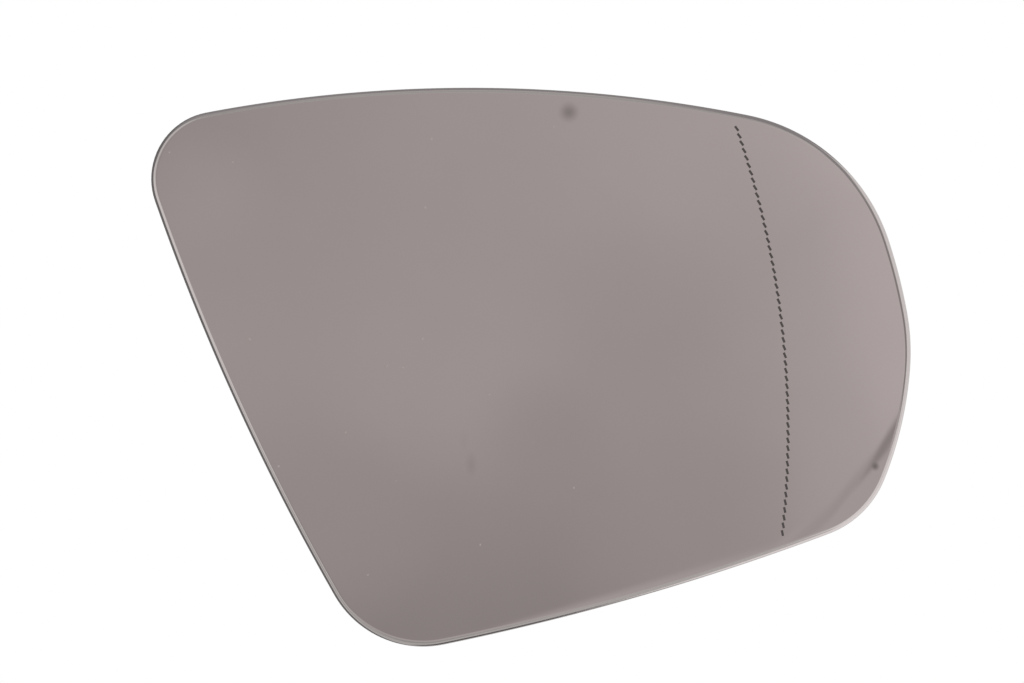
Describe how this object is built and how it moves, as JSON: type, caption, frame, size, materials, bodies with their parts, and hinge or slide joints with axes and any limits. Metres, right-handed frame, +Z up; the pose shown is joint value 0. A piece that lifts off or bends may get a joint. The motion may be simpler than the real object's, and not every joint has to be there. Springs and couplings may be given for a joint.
{
  "type": "car door mirror glass",
  "caption": "Convex heated door mirror glass, tighter curve outboard of a dashed line, pencil-ground edge, bonded to a ribbed carrier that snaps onto the mirror's actuator.",
  "frame": {"origin": "on the axis of the carrier's snap ring, at the plane where its hooks catch behind the actuator's disc", "axes": "+X outboard along the longest side, +Y backwards along the snap ring's axis towards the actuator, +Z up; the mirror face looks towards -Y"},
  "size_m": [0.1967, 0.0165, 0.1445],
  "materials": {
    "mirror_glass": "polished, warm grey reflection, ground edge",
    "heater_foil": "satin film over printed tracks",
    "carrier_plastic": "fine moulded grain",
    "terminal_metal": "tin plated"
  },
  "bodies": {
    "root": {"mirror_glass": "mirror_glass", "heater_mat": "heater_foil", "carrier": "carrier_plastic", "terminal_upper": "terminal_metal", "terminal_lower": "terminal_metal"}
  },
  "joints": []
}
